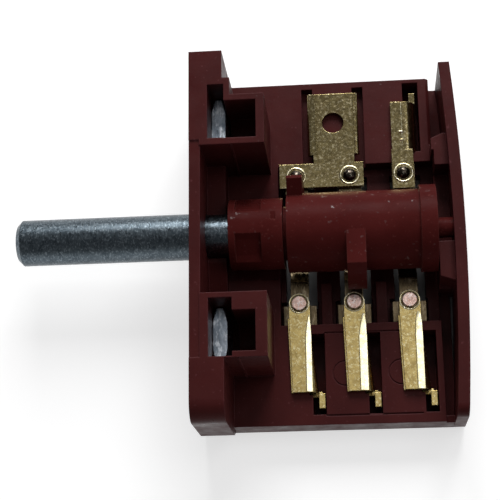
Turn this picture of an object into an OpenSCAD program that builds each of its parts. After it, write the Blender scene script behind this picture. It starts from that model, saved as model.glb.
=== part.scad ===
/* [Housing] */
// Distance from the shaft up to the upper edge of the flange
flange_top = 22.3; // [20:0.1:25]
// Distance from the shaft down to the lower edge of the flange
flange_bottom = 25.3; // [25:0.1:27]
// Half the height of the flange, from the shaft to its near or far edge
half_height = 8.4; // [8.35:0.05:10]
// Thickness of the flange between its two nut blocks
flange_wall = 1.4; // [1.2:0.1:2]
// Depth of the body from the mounting face to the outside of the rear plate
body_depth = 34.4; // [34:0.1:36]
// Level of the web's near face below the shaft axis
web_level = 3.7; // [3.6:0.05:3.8]
// Thickness of the floor of the rear gap
gap_floor = 1.2; // [0.8:0.1:2]
// Radius of the near lower corner of the flange
corner_r = 2.5; // [1:0.1:3]
// Radius of the lower corner of the flange at its back
back_corner_r = 5; // [1:0.5:6]
// Thickness of the bowed rear plate
rear_wall = 1.45; // [1.2:0.05:1.7]
// Radius of the bow of the rear plate
rear_bow_r = 310; // [250:10:500]
// Near edge of the rear plate above the shaft axis
rear_edge = 2; // [1.9:0.1:3]

/* [Panel fixing] */
// Distance between the two panel screws
screw_pitch = 28; // [28:0.1:28.4]
// Radius of the clearance holes for the panel screws
screw_hole_r = 2.2; // [2.1:0.05:2.4]
// Side of the square nut
nut_side = 7; // [6.8:0.1:7.2]
// Thickness of the square nut
nut_t = 1.8; // [1.6:0.1:2.2]
// Radius of the bore of the nut, at the crests of its thread
nut_bore_r = 1.7; // [1.6:0.05:1.9]
// Total clearance of the nut in its pocket
nut_play = 0.3; // [0.1:0.05:0.5]

/* [Shaft] */
// Radius of the steel shaft
shaft_r = 3; // [2.8:0.05:3.1]
// Radius of the shaft where it turns in the flange and sits in the drum
shaft_seat_r = 2.8; // [2.6:0.05:2.8]
// Length of the shaft in front of the mounting face
shaft_reach = 23.3; // [15:0.1:30]
// Radial running clearance of shaft and journal
bearing_play = 0.05; // [0.02:0.01:0.1]
// Depth of the flat for the knob
flat_depth = 1.4; // [0.5:0.1:1.5]
// Length of the flat for the knob
flat_length = 10; // [6:0.5:12]

/* [Cam drum] */
// Radius of the plain drum body
drum_r = 5.1; // [4.8:0.05:5.2]
// Radius of the detent wheel and its collars
star_r = 4.6; // [4.4:0.05:4.7]
// Depth of the four notches of the detent wheel
notch_depth = 0.6; // [0.4:0.05:0.8]
// Radius swept by the two tall cams
lobe_r = 7.5; // [7:0.05:7.5]
// Radius swept by the low cam
low_lobe_r = 6.8; // [6:0.05:6.8]
// Width of a cam along the shaft
cam_w = 2.4; // [2.2:0.1:2.5]

/* [Contacts] */
// Place of the first contact track along the shaft, as a share of the body depth
track_share = 0.375; // [0.374:0.001:0.377]
// Distance between neighbouring contact tracks, as a share of the body depth
pitch_share = 0.2064; // [0.206:0.0001:0.207]
// Thickness of the terminal sheet, folded double
sheet_t = 0.8; // [0.6:0.05:0.9]
// Thickness of the moving leaf springs
leaf_t = 0.3; // [0.2:0.02:0.32]
// Width of the leaf springs at their rivets
leaf_w = 3; // [2.8:0.1:3.1]
// Width of the leaf springs along belly and arm
arm_w = 2.4; // [2:0.1:2.6]
// Swing of a leaf spring between closed and open, in degrees
leaf_swing = 3.5; // [2.5:0.1:3.6]
// Distance of the upper rivets from the shaft axis
upper_rivet_y = 8.7; // [8.6:0.05:8.8]
// Distance of the lower contacts from the shaft axis
lower_rivet_y = 8.6; // [8.5:0.05:8.7]
// Radius of the contact heads
contact_r = 0.98; // [0.8:0.02:1.1]

/* [Hidden] */
$fn = 48;

bordeaux = [0.33, 0.13, 0.13];
drum_red = [0.42, 0.12, 0.11];
brass = [0.75, 0.64, 0.35];
copper = [0.8, 0.55, 0.45];
zinc = [0.6, 0.65, 0.7];

// Levels, measured from the shaft axis
web_z = -web_level;
back_z = -half_height;
near_z = half_height;
sheet_z = web_z + sheet_t;
track_pitch = pitch_share * body_depth;
tracks = [for (k = [0 : 2]) track_share * body_depth + k * track_pitch];
tab_x = (tracks[0] + tracks[1]) / 2 + 1.55;

// Front blocks and boxes
screw_y = screw_pitch / 2;
pocket_x = 2.35;
pocket_w = nut_t + nut_play;
pocket_h = nut_side + nut_play;
pocket_floor = -nut_side / 2;
well_w = 0.118 * body_depth;
well_end = pocket_x + pocket_w + well_w;
box_x = well_end + 0.03 * body_depth;
block_x = 4.25;
upper_box_low = 9.5;
upper_box_high = 16.2;
upper_rim_high = 18.5;
rim_x = 5.2;
step_y = 10.2;
lower_box_low = -17.8;
lower_box_high = -9.7;
lower_well_in = 0.4;
lower_relief = 0.8;
well_h = 5.1;
well_floor = 0.4;
upper_well_y = 12.85;
lower_well_y = -14.5;
block_step = 0.2;
seam_w = 0.22;
seam_h = 0.15;
mouth_depth = 0.5;
mouth_play = 0.15;
cradle_x = 3.8;
cradle_z = 0.2;

// Trough of the drum and contact chamber
trough_half = 5.1;
trough_r = 5;
trough_step = -4;
chamber_x = tracks[0] - 2.4;
chamber_low = -11.3;
chamber_high = 10.47;
chamber_floor = -6.2;
well_bottom = -7.4;
side_play = 0.3;
rib_w = 1.35;
rib_level = -4.7;
slot_floor = -7.95;
web_end = body_depth - 3.4;
web_bottom = flange_bottom - 1;
rear_bottom = flange_bottom - 0.8;
plate_inner = body_depth - rear_wall;
shoulder_z = 0.6;
shoulder_x = web_end - 0.1;

// Terminals
blade_drop = 4.8;
bend_r = 2 * sheet_t;
strip_left = 1.35;
strip_foot = 1.05;
bend_at = 1.05;
roll_r0 = 0.5 * sheet_t;
roll_r1 = 1.5 * sheet_t;
fold_lip = 0.2;
tip_top = -4.5;
upper_bend_at = 0.4;
slot_left = bend_at - 0.05;
slot_right = bend_at + roll_r1 + sheet_t + 0.1;
slot_low = -23;
slot_high = -12.5;
strip_low = -20.2;
blade_low = -22.05;
bend_high = slot_high - 0.1;
upper_slot_low = 11.9;
upper_slot_high = 21.8;
upper_strip_high = 18.8;
upper_blade_high = 20.6;
tab_left = tab_x - 3.4;
tab_right = tab_x + 3.4;
tab_low = 11.7;
tab_high = 20.4;
tab_hole_r = 1.45;
tab_hole_y = 16.2;
bar_left = tracks[0] - 2.2;
bar_right = tracks[1] + 1.85;
bar_low = 7.15;
upper_plate_low = 6.6;
bar_high = 10.5;
neck_in = 0.7;
lug_t = 0.5;
lug_drop = 1.6;
channel_depth = 1.5;

// Leaf springs, in the plane across the shaft
hinge_y = 10.2;
hinge_z = web_z - 0.05;
root_y = 6.6;
belly_r = lobe_r + 0.3;
pad_level = web_z - 1.1;
pad_end = -11;
head_w = 4.3;
head_start = -8.3;
contact_gap = 0.06;
fixed_head = 0.5;
rivet_r = 0.8;
rivet_play = 0.3;

// Drum stations along the shaft
drum_start = 4.45;
star_x0 = 5.3;
star_x1 = 8.6;
collar_end = tracks[0] - 1.55;
neck_end = tracks[0] - 1.05;
drum_end = web_end - 0.2;
end_disc_x = drum_end - 2.1;
end_disc_r = 5.6;
neck_r = star_r - 1.1;
journal_r = 1.3;
shaft_depth = 0.494 * body_depth;
star_angle = 40;

// Detent
ball_r = 1.25;
ball_angle = 310;
ball_lift = 0.05;
ball_bore_r = ball_r + 0.05;
ball_seat = 9.4;
detent_x = (star_x0 + star_x1) / 2;

// Extrudes a profile drawn in Y and Z along the shaft, from x0 to x1
module along_x(x0, x1) {
    translate([x0, 0, 0]) rotate([90, 0, 90]) linear_extrude(x1 - x0) children();
}

// Extrudes a profile drawn in X and Z across the body, from y0 to y1
module along_y(y0, y1) {
    translate([0, y1, 0]) rotate([90, 0, 0]) linear_extrude(y1 - y0) children();
}

// Box between two opposite corners
module block(low, high) {
    translate(low) cube(high - low);
}

// Cylinder along the shaft direction
module rod(x0, x1, r, y = 0, z = 0) {
    translate([x0, y, z]) rotate([0, 90, 0]) cylinder(r = r, h = x1 - x0);
}

// Rectangle in Y and Z with its two lower corners rounded, by back_r and by near_r
module end_profile(y0, y1, z0, z1, back_r, near_r) {
    translate([y0 + back_r, z0]) square([y1 - y0 - back_r, back_r + 0.1]);
    translate([y0 + near_r, z1 - near_r - 0.1]) square([y1 - y0 - near_r, near_r + 0.1]);
    translate([y0, z0 + back_r]) square([y1 - y0, z1 - z0 - back_r - near_r]);
    translate([y0 + back_r, z0 + back_r]) circle(back_r);
    translate([y0 + near_r, z1 - near_r]) circle(near_r);
}

// Block of a nut box with a moulding seam under it
module nut_box(low, high, seam_x) {
    block([flange_wall - 0.1, low, back_z], [box_x, high, near_z]);
    block([seam_x, low - seam_h, back_z], [seam_x + seam_w, low + 0.1, near_z - 0.3]);
}

// Front flange with its nut blocks, before the cavities are cut
module flange_solid() {
    along_x(0, flange_wall)
        end_profile(-flange_bottom, flange_top, back_z, near_z - block_step, back_corner_r, corner_r);
    along_x(0, block_x)
        intersection() {
            end_profile(-flange_bottom, flange_top, back_z, near_z, back_corner_r, corner_r);
            translate([-flange_bottom, back_z]) square([flange_bottom + lower_box_low + 0.1, 2 * near_z]);
        }
    nut_box(lower_box_low, lower_box_high, block_x + 1.6);
    block([0, step_y, back_z], [block_x, flange_top, near_z]);
    block([0, step_y, back_z], [rim_x, upper_rim_high, near_z]);
    nut_box(upper_box_low, upper_box_high, block_x + 1);
    block([0, 0, back_z], [cradle_x, upper_box_low + 0.1, cradle_z]);
    along_x(0, cradle_x)
        polygon([[0.1, back_z], [0.1, -0.4], [-3.4, -0.4], [-7.8, -2.3], [lower_box_high - 0.1, -2.3],
                 [lower_box_high - 0.1, back_z]]);
}

// Raised shoulder in front of the rear plate, drawn in X and Y
module shoulder(outline) {
    translate([0, 0, back_z]) linear_extrude(shoulder_z - back_z) polygon(outline);
}

// Bowed rear plate with its two shoulders, the floor of the rear gap and the closed end of the gap
module rear_solid() {
    inner = plate_inner + 0.2;
    intersection() {
        along_x(plate_inner - 2, body_depth + 1)
            end_profile(-rear_bottom, flange_top - 0.2, back_z, rear_edge, 1.5, 1.5);
        difference() {
            translate([body_depth - rear_bow_r, -1, back_z - 1]) cylinder(r = rear_bow_r, h = 20, $fn = 720);
            translate([body_depth - rear_bow_r, -1, back_z - 2])
                cylinder(r = rear_bow_r - rear_wall, h = 22, $fn = 720);
        }
    }
    shoulder([[shoulder_x - 0.2, 8.4], [inner, 8.4], [inner, 12.7], [shoulder_x + 1.3, 12.7], [shoulder_x - 0.2, 12.05]]);
    shoulder([[shoulder_x, -1.95], [inner, -1.95], [inner, -7.1], [inner - 0.4, -7.1], [shoulder_x + 0.1, -6.5]]);
    block([web_end - 1, -7.1, back_z], [inner, 12.7, web_z]);
    block([web_end - 1, -web_bottom, back_z], [plate_inner - 0.5, flange_top - 0.3, back_z + gap_floor]);
    block([web_end - 1, -web_bottom, back_z], [plate_inner - 0.5, -web_bottom + 0.9, web_z - 0.8]);
}

// Nut pocket, screw hole and square well of one panel fixing
module nut_cavity(side, well_y, inset, relief) {
    y = side * screw_y;
    block([pocket_x, y - pocket_h / 2, pocket_floor],
          [pocket_x + pocket_w + relief, y + pocket_h / 2, near_z + 1]);
    rod(-1, pocket_x + 1, screw_hole_r, y);
    rod(pocket_x, well_end - inset - 0.1, screw_hole_r, y);
    block([pocket_x + pocket_w - 0.1, well_y - well_h / 2, well_floor],
          [well_end - inset, well_y + well_h / 2, near_z + 1]);
}

// Open chamber of the contacts, with a well and a floor slot for each track and ribs between
module contact_chamber() {
    difference() {
        block([chamber_x, chamber_low, chamber_floor], [web_end + 0.01, chamber_high, near_z + 1]);
        for (k = [0, 1])
            block([tracks[k] + track_pitch / 2 - rib_w / 2, chamber_low - 1, back_z],
                  [tracks[k] + track_pitch / 2 + rib_w / 2, -5.6, rib_level]);
    }
    for (x = tracks) {
        block([x - head_w / 2 - side_play, chamber_low, well_bottom],
              [x + head_w / 2 + side_play, head_start + 0.7, 0]);
        block([x - leaf_w / 2 - side_play, head_start, back_z - 1],
              [x + leaf_w / 2 + side_play + 0.5, chamber_high - 1, 0]);
    }
}

// Blind slots beside the blades of the lower terminals, with the grooves around the pads
module blade_slots() {
    for (x = tracks) {
        block([x + slot_left, strip_low - 0.3, slot_floor], [x + slot_right, slot_high, 0]);
        block([x + slot_left + 0.45, slot_low, slot_floor], [x + slot_right, strip_low, 0]);
    }
    groove = 0.2;
    right = tracks[2] + slot_left + 0.1;
    block([tracks[0] + slot_right - 0.1, slot_high, web_z - groove], [right, slot_high + groove, 0]);
    block([tracks[0] + slot_right - 0.1, slot_low - groove, web_z - groove], [right, slot_low, 0]);
    mark_r = 0.235 * track_pitch;
    for (k = [0, 1])
        translate([tracks[k] + 0.8 * track_pitch, -17.75, web_z - 0.12])
            difference() {
                cylinder(r = mark_r, h = 1);
                translate([0, 0, -1]) cylinder(r = mark_r - 0.16, h = 3);
            }
}

// Channels under the edges of the wide tab and the blind slot of the upper blade
module upper_slots() {
    for (x = [tab_left, tab_right])
        block([x - 0.75, chamber_high - 0.1, web_z - channel_depth], [x + 0.75, tab_high + 1.1, 0]);
    block([tracks[2] + upper_bend_at - 0.05, upper_slot_low, slot_floor],
          [tracks[2] + upper_bend_at + bend_r + 0.45, upper_slot_high, 0]);
}

// Unit direction in Y and Z from the shaft axis
function ray(a) = [0, cos(a), sin(a)];

// Cylinder pointing away from the shaft axis, from radius r0 to r1
module spoke(x, a, r0, r1, r) {
    translate([x, 0, 0] + r0 * ray(a)) rotate([a - 90, 0, 0]) cylinder(r = r, h = r1 - r0);
}

module housing() {
    color(bordeaux)
    difference() {
        union() {
            flange_solid();
            block([0, -web_bottom, back_z], [web_end, flange_top, web_z]);
            rear_solid();
        }
        nut_cavity(1, upper_well_y, 0, 0);
        nut_cavity(-1, lower_well_y, lower_well_in, lower_relief);
        rod(-1, cradle_x + 0.1, shaft_seat_r + bearing_play);
        rod(-1, mouth_depth, shaft_r + mouth_play);
        rod(cradle_x, chamber_x + 0.1, trough_r);
        block([cradle_x, -trough_half, trough_step], [chamber_x + 0.1, trough_half, near_z + 1]);
        contact_chamber();
        blade_slots();
        upper_slots();
        spoke(detent_x, ball_angle, 4, ball_seat, ball_bore_r);
        rod(web_end - 2, body_depth + 1, journal_r + bearing_play);
        along_y(12.8, flange_top + 1)
            polygon([[web_end - 0.5, web_z + 0.1], [web_end + 0.1, web_z + 0.1], [web_end + 0.1, web_z - 0.5]]);
    }
}

// Square nut with its corners turned off at both faces
module square_nut(y) {
    corner = nut_side * 0.707;
    translate([pocket_x + 0.05, y, 0])
        difference() {
            intersection() {
                block([0, -nut_side / 2, -nut_side / 2], [nut_t, nut_side / 2, nut_side / 2]);
                rotate([0, 90, 0])
                    rotate_extrude()
                        polygon([[0, 0], [corner - 1.1, 0], [corner + 0.1, 0.55], [corner + 0.1, nut_t - 0.55],
                                 [corner - 1.1, nut_t], [0, nut_t]]);
            }
            rod(-1, nut_t + 1, nut_bore_r);
            rotate([0, 90, 0])
                rotate_extrude()
                    polygon([[0, nut_t - 0.45], [nut_bore_r, nut_t - 0.45], [nut_bore_r + 0.45, nut_t],
                             [nut_bore_r + 0.45, nut_t + 1], [0, nut_t + 1]]);
        }
}

module upper_nut() {
    color(zinc) square_nut(screw_y);
}

module lower_nut() {
    color(zinc) square_nut(-screw_y);
}

// Shaft with a bevelled end, a thinner seat behind the flange face and a flat on its hidden side
module shaft() {
    bevel = 0.6;
    color(zinc)
    difference() {
        rotate([0, 90, 0])
            rotate_extrude()
                polygon([[0, -shaft_reach], [shaft_r - bevel, -shaft_reach], [shaft_r, -shaft_reach + bevel],
                         [shaft_r, -0.3], [shaft_seat_r, -0.3], [shaft_seat_r, shaft_depth - bevel],
                         [shaft_seat_r - bevel, shaft_depth], [0, shaft_depth]]);
        block([-shaft_reach - 1, -shaft_r - 1, -shaft_r - 1],
              [-shaft_reach + flat_length, shaft_r + 1, -shaft_r + flat_depth]);
    }
}

// Nose of a cam: an arc of radius tip between a sloping flank and a step
module cam_nose(tip, flank_at, step_at) {
    far = 20;
    root = drum_r - 0.15;
    intersection() {
        circle(tip);
        polygon([
            [0, 0],
            root * [cos(flank_at), sin(flank_at)],
            root * [cos(flank_at), sin(flank_at)] + far * [-sin(flank_at), cos(flank_at)],
            far * [cos(step_at), sin(step_at)]
        ]);
    }
}

// Notch of the detent wheel: a flat floor between two shallow ramps
module star_notch(a) {
    floor_r = star_r - notch_depth;
    along_x(star_x0, star_x1)
        rotate(a)
            polygon([[floor_r, -1.1], [floor_r, 1.1], [floor_r + 0.22, 2.6], [star_r + 2, 2.6],
                     [star_r + 2, -2.6], [floor_r + 0.22, -2.6]]);
}

module cam_drum() {
    color(drum_red)
    difference() {
        union() {
            rotate([0, 90, 0])
                rotate_extrude()
                    polygon([
                        [0, drum_start], [star_r, drum_start], [star_r, collar_end], [neck_r, collar_end],
                        [neck_r, neck_end], [drum_r, neck_end], [drum_r, end_disc_x], [end_disc_r, end_disc_x],
                        [end_disc_r, drum_end], [journal_r, drum_end], [journal_r, body_depth - 0.2],
                        [0, body_depth - 0.2]
                    ]);
            along_x(neck_end + 0.1, neck_end + cam_w - 0.3) cam_nose(lobe_r, -68, 37);
            along_x(tracks[1] - 0.65, tracks[1] - 0.65 + cam_w) cam_nose(lobe_r, 90, 215);
            along_x(tracks[2] - cam_w / 2, tracks[2] + cam_w / 2) cam_nose(low_lobe_r, 198, 290);
        }
        rod(drum_start - 1, shaft_depth + 0.2, shaft_seat_r);
        for (k = [0 : 3]) star_notch(star_angle + 90 * k);
        block([star_x1 + 1.2, 0.6, star_r - 0.35], [star_x1 + 1.9, 2.4, star_r + 1]);
    }
}

module detent_ball() {
    color(zinc)
        translate([detent_x, 0, 0] + (star_r + ball_r + ball_lift) * ray(ball_angle)) sphere(ball_r);
}

// Detent spring: a stack of rings joined by a thin wall, as one closed coil
module detent_spring() {
    start = star_r + 2 * ball_r + ball_lift + 0.06;
    length = ball_seat - start;
    wire = 0.32;
    turns = 4;
    color(zinc)
        translate([detent_x, 0, 0] + start * ray(ball_angle)) rotate([ball_angle - 90, 0, 0])
            rotate_extrude()
                difference() {
                    translate([ball_r - 2.1 * wire, 0]) square([2 * wire, length]);
                    for (k = [0 : turns])
                        translate([ball_r - 0.1 * wire, length * k / turns]) circle(0.55 * wire, $fn = 16);
                }
}

// Flat strip of a terminal with a bend and a blade on its right side, as a profile in X and Z
module strip_profile(x, bend) {
    translate([x - strip_left, web_z]) square([strip_left + bend, sheet_t]);
    intersection() {
        translate([x + bend, sheet_z - bend_r])
            difference() {
                circle(bend_r);
                circle(bend_r - sheet_t);
            }
        translate([x + bend, sheet_z - bend_r]) square([bend_r + 1, bend_r + 1]);
    }
    blade_profile(x, bend);
}

// Blade that stands below the bend of a strip, as a profile in X and Z
module blade_profile(x, bend) {
    translate([x + bend + bend_r - sheet_t, sheet_z - blade_drop]) square([sheet_t, blade_drop - bend_r + 0.01]);
}

// Rolled right edge of a lower strip: a cone that lies under the plane of the strip
module rolled_edge(x) {
    half = atan((roll_r1 - roll_r0) / (bend_high - strip_low));
    apex_y = bend_high + roll_r0 / tan(half);
    reach = (apex_y - strip_low) / cos(half) + 0.5;
    first = (apex_y - bend_high) / cos(half) - 0.5;
    intersection() {
        translate([x + bend_at, apex_y, sheet_z])
            rotate([90 + half, 0, 0])
                translate([0, 0, first]) cylinder(r1 = first * tan(half), r2 = reach * tan(half), h = reach - first);
        block([x + bend_at, strip_low, sheet_z - roll_r1], [x + slot_right, bend_high, near_z]);
    }
}

// Terminal of the lower row: contact end, strip with a rolled edge, blade and its offset tip
module lower_terminal(k) {
    x = tracks[k];
    tip_x = x + bend_at + roll_r1;
    low = sheet_z - blade_drop;
    color(brass)
    difference() {
        union() {
            translate([x, 0, web_z])
                linear_extrude(sheet_t)
                    polygon([[-strip_left, -lower_rivet_y], [-strip_left, -10.5], [-strip_foot, strip_low],
                             [bend_at + 0.02, strip_low], [bend_at + 0.02, bend_high], [strip_left, bend_high],
                             [strip_left, -lower_rivet_y]]);
            translate([x - fold_lip, 0, web_z])
                linear_extrude(sheet_t / 2)
                    polygon([[-strip_left, -10.5], [-strip_foot, strip_low], [0, strip_low], [0, -10.5]]);
            translate([x, -lower_rivet_y, web_z]) cylinder(r = strip_left, h = sheet_t);
            rolled_edge(x);
            block([x + bend_at + 0.05, strip_low, low], [x + bend_at + 0.05 + sheet_t, -17, sheet_z - 0.9]);
            block([x + bend_at + 0.05, strip_low - 0.2, low], [tip_x + 0.4, strip_low + 0.5, tip_top - 1.3]);
            block([tip_x - 0.05, blade_low, low], [tip_x + sheet_t - 0.05, strip_low + 0.05, tip_top]);
        }
        translate([x, -lower_rivet_y, web_z - 1]) cylinder(r = rivet_r, h = 3);
    }
}

module lower_terminal_1() {
    lower_terminal(0);
}

module lower_terminal_2() {
    lower_terminal(1);
}

module lower_terminal_3() {
    lower_terminal(2);
}

// Terminal at the upper right: contact plate, bent strip and blade
module upper_terminal() {
    x = tracks[2];
    color(brass)
    difference() {
        union() {
            block([x - strip_left - 0.1, upper_plate_low, web_z], [x + strip_left + 0.05, upper_slot_low + 0.1, sheet_z]);
            along_y(upper_slot_low, upper_strip_high) strip_profile(x, upper_bend_at);
            along_y(upper_strip_high - 0.1, upper_blade_high) blade_profile(x, upper_bend_at);
        }
        translate([x, upper_rivet_y, web_z - 1]) cylinder(r = rivet_r, h = 3);
    }
}

// Common terminal: wide tab with folded round edges, neck and bar over two tracks
module common_terminal() {
    r = sheet_t / 2;
    color(brass)
    difference() {
        union() {
            along_y(tab_low, tab_high) {
                translate([tab_left + r, web_z]) square([tab_right - tab_left - sheet_t, sheet_t]);
                translate([tab_left + r, web_z + r]) circle(r);
                translate([tab_right - r, web_z + r]) circle(r);
            }
            block([tab_left + neck_in, bar_high - 0.1, web_z], [tab_right - neck_in, tab_low + 0.1, sheet_z]);
            block([bar_left, bar_low, web_z], [bar_right, bar_high, sheet_z]);
            block([bar_left, bar_low, web_z - lug_drop], [bar_left + lug_t, bar_high - 0.3, web_z + 0.1]);
        }
        translate([tab_x, tab_hole_y, web_z - 1]) cylinder(r = tab_hole_r, h = 3);
        for (k = [0, 1])
            translate([tracks[k], upper_rivet_y, web_z - 1]) cylinder(r = rivet_r, h = 3);
    }
}

// Rivets that hold the leaf springs loosely under the upper terminals
module leaf_rivets() {
    slack = leaf_t + 0.3;
    color([0.3, 0.3, 0.28])
    for (x = tracks)
        translate([x, upper_rivet_y, 0])
            rotate_extrude()
                difference() {
                    union() {
                        translate([0, web_z - slack - 0.4]) square([1.2, 0.4]);
                        translate([0, web_z - slack - 0.1]) square([rivet_r, slack + sheet_t + 0.2]);
                        intersection() {
                            translate([0, sheet_z - 0.35]) circle(1.02);
                            translate([0, sheet_z]) square([2, 2]);
                        }
                    }
                    translate([-3, -10]) square([3, 20]);
                }
}

// Fixed contact rivets of the lower terminals
module fixed_contacts() {
    head = 0.25;
    color(copper)
    for (x = tracks)
        translate([x, -lower_rivet_y, 0])
            rotate_extrude()
                polygon([
                    [0, web_z - fixed_head], [contact_r - 0.15, web_z - fixed_head], [contact_r, web_z - fixed_head + 0.15],
                    [contact_r, web_z], [rivet_r, web_z], [rivet_r, sheet_z], [contact_r, sheet_z],
                    [contact_r - 0.08, sheet_z + head], [0, sheet_z + head]
                ]);
}

// Turns a profile drawn in Y and Z about the hinge line of the leaf springs
module swing(angle) {
    translate([hinge_y, hinge_z]) rotate(angle) translate([-hinge_y, -hinge_z]) children();
}

// Section of a leaf spring in its closed position: root, belly under the drum, contact arm
module leaf_section() {
    start = -31.5;
    stop = -133;
    far = 20;
    translate([root_y, hinge_z - leaf_t]) square([hinge_y - root_y, leaf_t]);
    swing(-leaf_swing)
        intersection() {
            difference() {
                circle(belly_r + leaf_t, $fn = 96);
                circle(belly_r, $fn = 96);
            }
            polygon([[0, 0], far * [cos(start), sin(start)], far * [0, -1.5], far * [cos(stop), sin(stop)]]);
        }
    translate([pad_end, pad_level - leaf_t]) square([-5.1 - pad_end, leaf_t]);
}

// Leaf spring of one track, opened by the given swing
module leaf_spring(k, angle) {
    x = tracks[k];
    color(brass)
    difference() {
        union() {
            along_x(x - arm_w / 2, x + arm_w / 2) swing(angle) leaf_section();
            along_x(x - leaf_w / 2, x + leaf_w / 2)
                swing(angle) translate([root_y, hinge_z - leaf_t]) square([hinge_y - root_y, leaf_t]);
            along_x(x - head_w / 2, x + head_w / 2)
                swing(angle) translate([pad_end, pad_level - leaf_t]) square([head_start - pad_end, leaf_t]);
        }
        translate([x, upper_rivet_y, hinge_z - 1]) cylinder(r = rivet_r + rivet_play, h = 2);
        at_hinge(angle) translate([x, -lower_rivet_y, pad_level - 1]) cylinder(r = 0.5, h = 2);
    }
}

// Places a solid on a leaf spring that is opened by the given swing
module at_hinge(angle) {
    translate([0, hinge_y, hinge_z]) rotate([angle, 0, 0]) translate([0, -hinge_y, -hinge_z]) children();
}

// Contact riveted into the arm of a leaf spring
module moving_contact(k, angle) {
    top = web_z - fixed_head - contact_gap;
    color(copper)
    at_hinge(angle)
        translate([tracks[k], -lower_rivet_y, 0])
            rotate_extrude()
                polygon([
                    [0, pad_level - leaf_t - 0.2], [0.75, pad_level - leaf_t - 0.2], [0.75, pad_level - leaf_t],
                    [0.5, pad_level - leaf_t], [0.5, pad_level], [contact_r, pad_level],
                    [contact_r, top - 0.15], [contact_r - 0.15, top], [0, top]
                ]);
}

module leaf_spring_1() {
    leaf_spring(0, leaf_swing);
}

module leaf_spring_2() {
    leaf_spring(1, leaf_swing);
}

module leaf_spring_3() {
    leaf_spring(2, 0);
}

module moving_contact_1() {
    moving_contact(0, leaf_swing);
}

module moving_contact_2() {
    moving_contact(1, leaf_swing);
}

module moving_contact_3() {
    moving_contact(2, 0);
}

housing();
upper_nut();
lower_nut();
shaft();
cam_drum();
detent_ball();
detent_spring();
common_terminal();
upper_terminal();
lower_terminal_1();
lower_terminal_2();
lower_terminal_3();
leaf_rivets();
fixed_contacts();
leaf_spring_1();
leaf_spring_2();
leaf_spring_3();
moving_contact_1();
moving_contact_2();
moving_contact_3();
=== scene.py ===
"""Looks of the oven selector switch: camera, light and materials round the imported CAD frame."""

import math

import bmesh
import bpy
from mathutils import Euler, Matrix, Vector


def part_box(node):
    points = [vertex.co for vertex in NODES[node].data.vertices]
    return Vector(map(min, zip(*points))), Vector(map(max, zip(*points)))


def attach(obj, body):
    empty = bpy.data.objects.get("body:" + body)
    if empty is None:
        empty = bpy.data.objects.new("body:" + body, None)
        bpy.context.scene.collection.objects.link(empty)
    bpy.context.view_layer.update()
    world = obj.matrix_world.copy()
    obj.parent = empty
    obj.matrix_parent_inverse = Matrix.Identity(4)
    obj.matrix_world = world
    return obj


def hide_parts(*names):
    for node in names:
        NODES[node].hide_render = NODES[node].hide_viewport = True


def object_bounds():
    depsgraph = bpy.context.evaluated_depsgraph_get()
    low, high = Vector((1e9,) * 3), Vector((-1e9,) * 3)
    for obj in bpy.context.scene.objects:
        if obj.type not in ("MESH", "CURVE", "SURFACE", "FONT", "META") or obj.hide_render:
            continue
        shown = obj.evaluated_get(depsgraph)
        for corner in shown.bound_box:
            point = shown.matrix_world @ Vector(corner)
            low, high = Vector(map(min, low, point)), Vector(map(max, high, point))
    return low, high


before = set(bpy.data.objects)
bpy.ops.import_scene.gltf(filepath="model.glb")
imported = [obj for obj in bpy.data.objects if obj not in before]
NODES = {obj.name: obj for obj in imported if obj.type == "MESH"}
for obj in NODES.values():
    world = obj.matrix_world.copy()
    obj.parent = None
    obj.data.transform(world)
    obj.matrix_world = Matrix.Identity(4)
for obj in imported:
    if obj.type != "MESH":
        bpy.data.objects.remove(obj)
cad_low, cad_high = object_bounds()


# Places taken from the frame, in mm

MM = 0.001


def middle(node):
    """Middle of a CAD node's box, to a hundredth of a millimetre."""
    low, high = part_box(node)
    return [round(value / MM, 2) for value in (low + high) / 2]


TRACKS = [middle(f"moving_contact_{k}")[0] for k in (1, 2, 3)]
SHEET_Z = round(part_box("common_terminal")[1].z / MM, 2)
UPPER_RIVET_Y = middle("leaf_rivets")[1]
LOWER_RIVET_Y = middle("fixed_contacts")[1]
DETENT_X = middle("detent_spring")[0]


# Camera, fitted to the photograph: place in mm, turn in degrees about X, Y and Z

CAMERA_PLACE = (20.602, -51.635, 165.653)
CAMERA_TURN = (16.5517, 4.9666, -0.7839)
CAMERA_LENS = 96.97
CAMERA_SENSOR = 36.0


def add_object(name, data):
    obj = bpy.data.objects.new(name, data)
    bpy.context.scene.collection.objects.link(obj)
    return obj


def make_camera():
    cam = bpy.data.cameras.new("camera")
    cam.lens = CAMERA_LENS
    cam.sensor_width = CAMERA_SENSOR
    cam.clip_start = 0.01
    cam.clip_end = 5.0
    obj = add_object("camera", cam)
    turn = Euler([math.radians(angle) for angle in CAMERA_TURN]).to_matrix().to_4x4()
    obj.matrix_world = Matrix.Translation(Vector(CAMERA_PLACE) * MM) @ turn
    bpy.context.scene.camera = obj


# Light: a key lamp high above the flange's upper end, two small lamps for the metal, and a dim room

def area_light(name, place, target, size, power):
    lamp = bpy.data.lights.new(name, "AREA")
    lamp.shape = "SQUARE"
    lamp.size = size * MM
    lamp.energy = power
    obj = add_object(name, lamp)
    obj.location = Vector(place) * MM
    aim = Vector(target) * MM - obj.location
    obj.rotation_mode = "QUATERNION"
    obj.rotation_quaternion = aim.to_track_quat("-Z", "Y")


def make_lamps():
    area_light("key", place=(50, 290, 215), target=(12, 0, 0), size=200, power=1.3)
    area_light("side", place=(156, 50, 290), target=(20, -14, 0), size=130, power=0.13)
    area_light("top", place=(20, 49, 292), target=(18, -5, 0), size=105, power=0.022)


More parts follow.
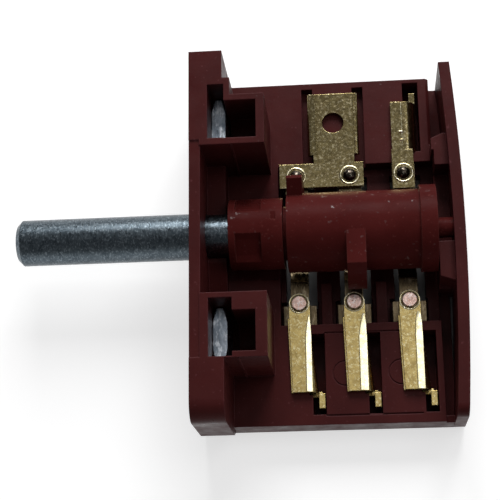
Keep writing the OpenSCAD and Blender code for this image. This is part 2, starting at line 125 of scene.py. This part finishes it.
def make_room():
    """World with a pale horizon that darkens upwards."""
    horizon = (0.8, 0.8, 0.8)
    low_wall = (0.6, 0.6, 0.6)
    high_wall = (0.23, 0.23, 0.23)
    ceiling = (0.15, 0.15, 0.155)
    world = bpy.data.worlds.new("world")
    bpy.context.scene.world = world
    world.use_nodes = True
    tree = world.node_tree
    tree.nodes.clear()
    way = tree.nodes.new("ShaderNodeTexCoord").outputs["Generated"]
    split = tree.nodes.new("ShaderNodeSeparateXYZ")
    tree.links.new(way, split.inputs["Vector"])
    stops = [(0.0, horizon), (0.16, low_wall), (0.4, high_wall), (1.0, ceiling)]
    shade = ramp(tree, split.outputs["Z"], stops)
    sky = tree.nodes.new("ShaderNodeBackground")
    tree.links.new(shade, sky.inputs["Color"])
    out = tree.nodes.new("ShaderNodeOutputWorld")
    tree.links.new(sky.outputs[0], out.inputs["Surface"])


# Node material helpers

def new_material(name):
    """Material without nodes but its output: the material, its tree and the output's surface socket."""
    mat = bpy.data.materials.new(name)
    mat.use_nodes = True
    tree = mat.node_tree
    tree.nodes.clear()
    out = tree.nodes.new("ShaderNodeOutputMaterial")
    return mat, tree, out.inputs["Surface"]


def new_principled(name):
    mat, tree, surface = new_material(name)
    bsdf = tree.nodes.new("ShaderNodeBsdfPrincipled")
    tree.links.new(bsdf.outputs["BSDF"], surface)
    return mat, tree, bsdf


def noise(tree, scale, detail, rough, stretch=None):
    node = tree.nodes.new("ShaderNodeTexNoise")
    node.inputs["Scale"].default_value = scale
    node.inputs["Detail"].default_value = detail
    node.inputs["Roughness"].default_value = rough
    coords = tree.nodes.new("ShaderNodeTexCoord").outputs["Object"]
    if stretch:
        mapping = tree.nodes.new("ShaderNodeMapping")
        mapping.inputs["Scale"].default_value = stretch
        tree.links.new(coords, mapping.inputs["Vector"])
        coords = mapping.outputs["Vector"]
    tree.links.new(coords, node.inputs["Vector"])
    return node.outputs["Fac"]


def ramp(tree, source, stops):
    """Colour by a value, from stops of (value, colour)."""
    node = tree.nodes.new("ShaderNodeValToRGB")
    elements = node.color_ramp.elements
    while len(elements) < len(stops):
        elements.new(0.5)
    for element, (place, colour) in zip(elements, stops):
        element.position = place
        element.color = (*colour, 1)
    tree.links.new(source, node.inputs["Fac"])
    return node.outputs["Color"]


def spread(tree, source, start, stop, low, high):
    """Value that goes from low to high while the source goes from start to stop."""
    node = tree.nodes.new("ShaderNodeMapRange")
    node.inputs["From Min"].default_value = start
    node.inputs["From Max"].default_value = stop
    node.inputs["To Min"].default_value = low
    node.inputs["To Max"].default_value = high
    tree.links.new(source, node.inputs["Value"])
    return node.outputs["Result"]


def reckon(tree, operation, *values, clamp=False):
    """Result of a Math node on numbers and sockets."""
    node = tree.nodes.new("ShaderNodeMath")
    node.operation = operation
    node.use_clamp = clamp
    for socket, value in zip(node.inputs, values):
        if isinstance(value, float):
            socket.default_value = value
        else:
            tree.links.new(value, socket)
    return node.outputs[0]


def blend(tree, mask, first, second):
    """Mix of two colours, each a tuple or a socket."""
    node = tree.nodes.new("ShaderNodeMix")
    node.data_type = "RGBA"
    tree.links.new(mask, node.inputs["Factor"])
    for socket, value in ((node.inputs["A"], first), (node.inputs["B"], second)):
        if isinstance(value, tuple):
            socket.default_value = (*value, 1)
        else:
            tree.links.new(value, socket)
    return node.outputs["Result"]


def rounded(tree, radius):
    """Normal of the surface as if its edges were rounded by a radius in mm."""
    node = tree.nodes.new("ShaderNodeBevel")
    node.samples = 6
    node.inputs["Radius"].default_value = radius * MM
    return node.outputs["Normal"]


def edges(tree, radius, gain):
    """Mask of the outer and inner edges, from the angle between the true and the rounded normal."""
    shape = tree.nodes.new("ShaderNodeNewGeometry")
    dot = tree.nodes.new("ShaderNodeVectorMath")
    dot.operation = "DOT_PRODUCT"
    tree.links.new(rounded(tree, radius), dot.inputs[0])
    tree.links.new(shape.outputs["Normal"], dot.inputs[1])
    return spread(tree, dot.outputs["Value"], start=0.75, stop=0.995, low=gain, high=0.0)


def bump(tree, source, strength, height, under):
    """Normal with the source as relief, up to a height in mm, over another normal."""
    node = tree.nodes.new("ShaderNodeBump")
    node.inputs["Strength"].default_value = strength
    node.inputs["Distance"].default_value = height * MM
    tree.links.new(source, node.inputs["Height"])
    tree.links.new(under, node.inputs["Normal"])
    return node.outputs["Normal"]


# Materials

def plastic(name, dark, light, dust_and_edge_highlight, rough, level, wave, spots):
    """Moulded thermoset: cloudy colour, grain, flow marks, dust specks, edges painted pale as a highlight
    and small glossy spots.
    """
    mat, tree, bsdf = new_principled(name)
    clouds = noise(tree, scale=140, detail=4, rough=0.55)
    dust = noise(tree, scale=1900, detail=2, rough=0.5)
    colour = ramp(tree, clouds, [(0.32, dark), (0.68, light)])
    colour = blend(tree, spread(tree, dust, start=0.66, stop=0.74, low=0.0, high=0.5), colour, dust_and_edge_highlight)
    # Painted highlight: the outer and inner edges are lightened towards the pale dust colour.
    colour = blend(tree, edges(tree, radius=0.22, gain=0.55), colour, dust_and_edge_highlight)
    tree.links.new(colour, bsdf.inputs["Base Color"])

    patches = noise(tree, scale=420, detail=5, rough=0.65)
    roughness = spread(tree, patches, start=0.3, stop=0.7, low=rough - 0.1, high=rough + 0.14)
    tree.links.new(roughness, bsdf.inputs["Roughness"])

    flow = noise(tree, scale=330, detail=3, rough=0.6)
    grain = noise(tree, scale=3600, detail=2, rough=0.6)
    relief = bump(tree, flow, strength=wave, height=0.12, under=rounded(tree, 0.18))
    relief = bump(tree, grain, strength=0.35, height=0.03, under=relief)
    tree.links.new(relief, bsdf.inputs["Normal"])

    drops = noise(tree, scale=1500, detail=2, rough=0.5)
    gloss = spread(tree, drops, start=spots, stop=spots + 0.1, low=level, high=level + 0.4)
    tree.links.new(gloss, bsdf.inputs["Specular IOR Level"])
    return mat


def metal(name, dark, light, bright, rough, grain, stretch=None, dents=0.35, rounding=0.1, uneven=0.1):
    """Metal with a mottled tone, small bright specks and a finely dented, softly edged surface."""
    mat, tree, bsdf = new_principled(name)
    mottle = noise(tree, scale=grain * 0.3, detail=4, rough=0.65, stretch=stretch)
    fine = noise(tree, scale=grain, detail=3, rough=0.6, stretch=stretch)
    tone = ramp(tree, mottle, [(0.34, dark), (0.66, light)])
    specks = spread(tree, fine, start=0.52, stop=0.68, low=0.0, high=1.0)
    tree.links.new(blend(tree, specks, tone, bright), bsdf.inputs["Base Color"])

    patches = noise(tree, scale=grain * 0.5, detail=4, rough=0.6, stretch=stretch)
    roughness = spread(tree, patches, start=0.3, stop=0.7, low=rough - uneven, high=rough + uneven)
    tree.links.new(roughness, bsdf.inputs["Roughness"])

    pits = noise(tree, scale=grain * 0.8, detail=3, rough=0.6, stretch=stretch)
    relief = bump(tree, pits, strength=dents, height=0.05, under=rounded(tree, rounding))
    tree.links.new(relief, bsdf.inputs["Normal"])
    bsdf.inputs["Metallic"].default_value = 1.0
    return mat


def make_plastics():
    return {
        "housing": plastic(
            "housing_plastic",
            dark=(0.043, 0.0078, 0.0078), light=(0.060, 0.0112, 0.0108),
            dust_and_edge_highlight=(0.115, 0.036, 0.040), rough=0.36, level=0.07, wave=0.22, spots=0.73),
        "drum": plastic(
            "drum_plastic",
            dark=(0.050, 0.0072, 0.0066), light=(0.068, 0.0105, 0.0098),
            dust_and_edge_highlight=(0.125, 0.034, 0.030), rough=0.33, level=0.015, wave=0.5, spots=0.66),
    }


def make_metals():
    return {
        "shaft": metal(
            "shaft_steel",
            dark=(0.055, 0.072, 0.086), light=(0.105, 0.13, 0.148), bright=(0.22, 0.26, 0.29),
            rough=0.32, grain=5200, stretch=(1.0, 0.6, 0.6), dents=0.4),
        "zinc": metal(
            "zinc_steel",
            dark=(0.17, 0.21, 0.26), light=(0.5, 0.56, 0.63), bright=(0.85, 0.9, 0.96),
            rough=0.34, grain=2600, stretch=(1.0, 0.4, 0.4)),
        "brass": metal(
            "terminal_brass",
            dark=(0.43, 0.315, 0.115), light=(0.64, 0.49, 0.19), bright=(0.85, 0.74, 0.42),
            rough=0.24, grain=3600, dents=0.25, uneven=0.05),
        # The same brass painted darker: painted shade for the upper terminals, whose flats catch less of the
        # lamp.
        "painted_shade_brass": metal(
            "terminal_brass_painted_shade",
            dark=(0.24, 0.185, 0.08), light=(0.34, 0.275, 0.125), bright=(0.6, 0.52, 0.33),
            rough=0.19, grain=3600, dents=0.2, uneven=0.04),
        # Brass painted pale: a painted highlight for bends, creases and the collars round the rivets.
        "painted_highlight_brass": metal(
            "terminal_brass_painted_highlight",
            dark=(0.6, 0.53, 0.31), light=(0.8, 0.73, 0.5), bright=(0.95, 0.92, 0.78),
            rough=0.26, grain=3000, dents=0.2, rounding=0.04),
        "bronze": metal(
            "spring_bronze",
            dark=(0.11, 0.08, 0.045), light=(0.19, 0.145, 0.085), bright=(0.36, 0.29, 0.19),
            rough=0.3, grain=3000, stretch=(1.0, 0.25, 1.0)),
        # Near-black metal as painted shade: the leaf rivets, which are seen dark, and the rings round the
        # copper heads.
        "dark": metal(
            "dark_rivet",
            dark=(0.02, 0.016, 0.012), light=(0.07, 0.055, 0.045), bright=(0.3, 0.27, 0.22),
            rough=0.25, grain=2600),
        "copper": metal(
            "contact_copper",
            dark=(0.7, 0.44, 0.36), light=(0.93, 0.7, 0.62), bright=(0.99, 0.93, 0.9),
            rough=0.3, grain=3600, dents=0.6),
    }


def dress_nodes(mats):
    """Gives every CAD node its material."""
    wearers = {
        "housing": ["housing"],
        "drum": ["cam_drum"],
        "shaft": ["shaft"],
        "zinc": ["upper_nut", "lower_nut", "detent_ball", "detent_spring"],
        "brass": ["lower_terminal_1", "lower_terminal_2", "lower_terminal_3"],
        # The upper terminals wear the darker brass as painted shade.
        "painted_shade_brass": ["common_terminal", "upper_terminal"],
        "bronze": ["leaf_spring_1", "leaf_spring_2", "leaf_spring_3"],
        # The leaf rivets are painted dark as shade.
        "dark": ["leaf_rivets"],
        "copper": ["fixed_contacts", "moving_contact_1", "moving_contact_2", "moving_contact_3"],
    }
    for finish, nodes in wearers.items():
        for node in nodes:
            slots = NODES[node].data.materials
            slots.clear()
            slots.append(mats[finish])


# Mesh helpers, with places in mm. Detail pieces reach into the sheet by the value SUNK

SUNK = 0.02


def add_point(bm, x, y, z):
    return bm.verts.new(Vector((x, y, z)) * MM)


def skin(bm, rows, closed=False):
    """Faces between neighbouring rows of points. The rows end in caps, or close in a ring."""
    pairs = list(zip(rows, rows[1:]))
    if closed:
        pairs.append((rows[-1], rows[0]))
    for one, two in pairs:
        for j in range(len(one)):
            k = (j + 1) % len(one)
            bm.faces.new((one[j], one[k], two[k], two[j]))
    if not closed:
        bm.faces.new(rows[0])
        bm.faces.new(rows[-1])


def finish_mesh(name, bm, mat, smooth):
    """Object of a mesh, with its faces turned outwards."""
    bmesh.ops.recalc_face_normals(bm, faces=bm.faces)
    mesh = bpy.data.meshes.new(name)
    bm.to_mesh(mesh)
    bm.free()
    for face in mesh.polygons:
        face.use_smooth = smooth
    mesh.materials.append(mat)
    return add_object(name, mesh)


def add_ring(bm, x, y, inner, outer, rise, corner):
    """Flat ring on a sheet's face, with bevelled upper corners."""
    steps = 48
    section = [
        (inner, -SUNK), (outer, -SUNK), (outer, rise - corner),
        (outer - corner, rise), (inner + corner, rise), (inner, rise - corner),
    ]
    rows = []
    for i in range(steps):
        a = 2 * math.pi * i / steps
        right, up = math.cos(a), math.sin(a)
        rows.append([add_point(bm, x + r * right, y + r * up, SHEET_Z + h) for r, h in section])
    skin(bm, rows, closed=True)


def add_bar(bm, left, right, low, high, rise, corner):
    """Bar on a sheet's face between two X and two Y, with bevelled upper edges."""
    rows = []
    for z, inset in ((-SUNK, 0.0), (rise - corner, 0.0), (rise, corner)):
        x0, x1 = left + inset, right - inset
        y0, y1 = low + inset, high - inset
        rows.append([add_point(bm, x, y, SHEET_Z + z) for x, y in ((x0, y0), (x1, y0), (x1, y1), (x0, y1))])
    skin(bm, rows)


def add_fold(bm, sections):
    """Folded edge on a sheet's face, from sections of Y, the X of ridge and foot, and the ridge's height."""
    outer_slope = 0.07
    ridge_width = 0.08
    foot_rise = 0.02
    rows = []
    for y, ridge, foot, rise in sections:
        side = math.copysign(1.0, foot - ridge)
        section = [
            (ridge - side * outer_slope, -SUNK), (ridge, rise), (ridge + side * ridge_width, rise),
            (foot, foot_rise), (foot, -SUNK),
        ]
        rows.append([add_point(bm, x, y, SHEET_Z + z) for x, z in section])
    skin(bm, rows)


# Detail pieces

def detent_coil(mats):
    """Coil spring between the housing and the detent ball, with its end turns laid flat."""
    direction = math.radians(310)
    start = 7.21
    length = 2.14
    coil_r = 1.04
    wire_r = 0.16
    turns = 5.5
    flat_share = 0.14
    steps = 200
    sides = 8
    axis = Vector((0, math.cos(direction), math.sin(direction))).to_track_quat("Z", "Y").to_matrix()
    path = []
    for i in range(steps + 1):
        t = i / steps
        a = 2 * math.pi * turns * t
        climb = min(max((t - flat_share) / (1 - 2 * flat_share), 0.0), 1.0)
        height = start + wire_r + climb * (length - 2 * wire_r)
        local = Vector((coil_r * math.cos(a), coil_r * math.sin(a), height))
        path.append(axis @ local + Vector((DETENT_X, 0, 0)))
    bm = bmesh.new()
    rows = []
    for i, point in enumerate(path):
        ahead = path[min(i + 1, steps)] - path[max(i - 1, 0)]
        across = ahead.to_track_quat("Z", "Y").to_matrix()
        row = []
        for j in range(sides):
            a = 2 * math.pi * j / sides
            offset = Vector((wire_r * math.cos(a), wire_r * math.sin(a), 0))
            row.append(add_point(bm, *(point + across @ offset)))
        rows.append(row)
    skin(bm, rows)
    coil = finish_mesh("detent_coil", bm, mats["zinc"], smooth=True)
    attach(coil, "switch_body")
    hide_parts("detent_spring")


def nut_threads(mats):
    """Thread inside the bores of both square nuts, as a helical ridge on the bore's wall."""
    bore_near = 2.42
    bore_far = 3.72
    start = 2.46
    pitch = 0.35
    turns = 3.9
    steps = 36
    foot_r = 1.69
    foot_half = 0.15
    crest_r = 1.58
    crest_half = 0.03
    section = ((foot_r, -foot_half), (crest_r, -crest_half), (crest_r, crest_half), (foot_r, foot_half))
    for name, nut in (("upper_nut_thread", "upper_nut"), ("lower_nut_thread", "lower_nut")):
        y = middle(nut)[1]
        bm = bmesh.new()
        rows = []
        for i in range(int(turns * steps) + 1):
            a = 2 * math.pi * i / steps
            x = start + pitch * i / steps
            row = []
            for r, offset in section:
                depth = min(max(x + offset, bore_near), bore_far)
                row.append(add_point(bm, depth, y + r * math.cos(a), r * math.sin(a)))
            rows.append(row)
        skin(bm, rows)
        thread = finish_mesh(name, bm, mats["zinc"], smooth=False)
        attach(thread, "switch_body")


def rivet_collars(mats):
    """Pale brass pressed up round all the rivets as a painted highlight, and dark rings round the copper
    ones as painted shade.
    """
    bm = bmesh.new()
    for x in TRACKS:
        add_ring(bm, x, UPPER_RIVET_Y, inner=1.06, outer=1.36, rise=0.13, corner=0.09)
        add_ring(bm, x, LOWER_RIVET_Y, inner=1.16, outer=1.36, rise=0.07, corner=0.05)
    collars = finish_mesh("rivet_collars", bm, mats["painted_highlight_brass"], smooth=True)
    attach(collars, "switch_body")
    # Dark rings round the copper heads: painted shade at their rims.
    bm = bmesh.new()
    for x in TRACKS:
        add_ring(bm, x, LOWER_RIVET_Y, inner=0.99, outer=1.13, rise=0.04, corner=0.02)
    shades = finish_mesh("contact_shade_rings", bm, mats["dark"], smooth=True)
    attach(shades, "switch_body")


def add_crease(bm):
    """Crease along the upper right strip, and two pressed bumps beside it."""
    x = TRACKS[2]
    add_bar(bm, left=x + 0.02, right=x + 0.12, low=12.9, high=18.7, rise=0.05, corner=0.03)
    for low, reach in ((14.35, 0.42), (13.15, 0.3)):
        add_bar(bm, left=x - reach, right=x + 0.2, low=low, high=low + 0.34, rise=0.13, corner=0.1)


def add_strip_folds(bm):
    """Fold along the right edge of each lower strip, which narrows towards the strip's upper end; its
    brightness is a painted highlight.
    """
    for track, ridge, narrowing in zip(TRACKS, (0.72, 0.45, 0.55), (0.2, 0.3, 0.1)):
        start = track + ridge
        edge = track + 1.46
        add_fold(bm, [
            (-20.15, start, edge, 0.2),
            (-17.0, start, edge, 0.2),
            (-13.2, start, edge, 0.17),
            (-11.4, start + narrowing, track + 1.4, 0.1),
            (-10.2, start + narrowing + 0.25, track + 1.25, 0.03),
        ])


def pressed_marks(mats):
    """Crease, bumps and folds that are pressed into the narrow strips, in pale brass as a painted highlight.
    """
    bm = bmesh.new()
    add_crease(bm)
    add_strip_folds(bm)
    marks = finish_mesh("pressed_marks", bm, mats["painted_highlight_brass"], smooth=False)
    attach(marks, "switch_body")


def tab_folds(mats):
    """Shallow folds along the left and right edges of the wide tab."""
    low = 11.75
    high = 20.35
    bm = bmesh.new()
    add_fold(bm, [(low, 15.85, 15.0, 0.07), (16.0, 15.78, 14.98, 0.1), (high, 15.7, 14.98, 0.1)])
    add_fold(bm, [(low, 20.86, 21.02, 0.05), (high, 20.8, 21.02, 0.06)])
    folds = finish_mesh("tab_folds", bm, mats["painted_shade_brass"], smooth=False)
    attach(folds, "switch_body")


# Floor

def outside_footprint(tree):
    """Mask that is 0 under the body and 1 round it, from the distance to the body's middle in X and Y."""
    split = tree.nodes.new("ShaderNodeSeparateXYZ")
    tree.links.new(tree.nodes.new("ShaderNodeTexCoord").outputs["Object"], split.inputs["Vector"])
    masks = []
    for axis, centre, half, fade in (("X", middle("housing")[0], 16.0, 0.6), ("Y", 0.0, 19.5, 1.0)):
        distance = reckon(tree, "ABSOLUTE", reckon(tree, "SUBTRACT", split.outputs[axis], centre * MM))
        masks.append(spread(tree, distance, start=half * MM, stop=(half + fade) * MM, low=0.0, high=1.0))
    return reckon(tree, "MAXIMUM", *masks)


def diffuse(tree, shade):
    node = tree.nodes.new("ShaderNodeBsdfDiffuse")
    node.inputs["Color"].default_value = (shade, shade, shade, 1)
    return node.outputs["BSDF"]


def floor_material():
    """White for the camera and in reflections, plain grey for the light, and grey under the body as painted
    shade where it shows through the slots.
    """
    mat, tree, surface = new_material("floor_white")
    path = tree.nodes.new("ShaderNodeLightPath").outputs
    seen = reckon(tree, "ADD", path["Is Camera Ray"], path["Is Glossy Ray"])
    seen = reckon(tree, "ADD", seen, path["Is Transmission Ray"], clamp=True)
    glow = tree.nodes.new("ShaderNodeEmission")
    glow.inputs["Color"].default_value = (1, 1, 1, 1)
    glow.inputs["Strength"].default_value = 0.62
    white = tree.nodes.new("ShaderNodeAddShader")
    tree.links.new(diffuse(tree, 0.55), white.inputs[0])
    tree.links.new(glow.outputs[0], white.inputs[1])
    mix = tree.nodes.new("ShaderNodeMixShader")
    # Painted shade: under the body the camera sees the plain grey floor instead of the white one.
    tree.links.new(reckon(tree, "MULTIPLY", seen, outside_footprint(tree)), mix.inputs["Fac"])
    tree.links.new(diffuse(tree, 0.35), mix.inputs[1])
    tree.links.new(white.outputs[0], mix.inputs[2])
    tree.links.new(mix.outputs[0], surface)
    return mat


def make_floor():
    """Floor 2.4 m across, at the object's lowest point."""
    half = 1.2
    bm = bmesh.new()
    for x, y in ((-half, -half), (half, -half), (half, half), (-half, half)):
        bm.verts.new((x, y, cad_low.z))
    bm.faces.new(bm.verts)
    floor = finish_mesh("floor", bm, floor_material(), smooth=False)


make_camera()
make_lamps()
make_room()
bpy.context.scene.view_settings.view_transform = "Standard"
materials = {**make_plastics(), **make_metals()}
dress_nodes(materials)
detent_coil(materials)
nut_threads(materials)
rivet_collars(materials)
pressed_marks(materials)
tab_folds(materials)
make_floor()
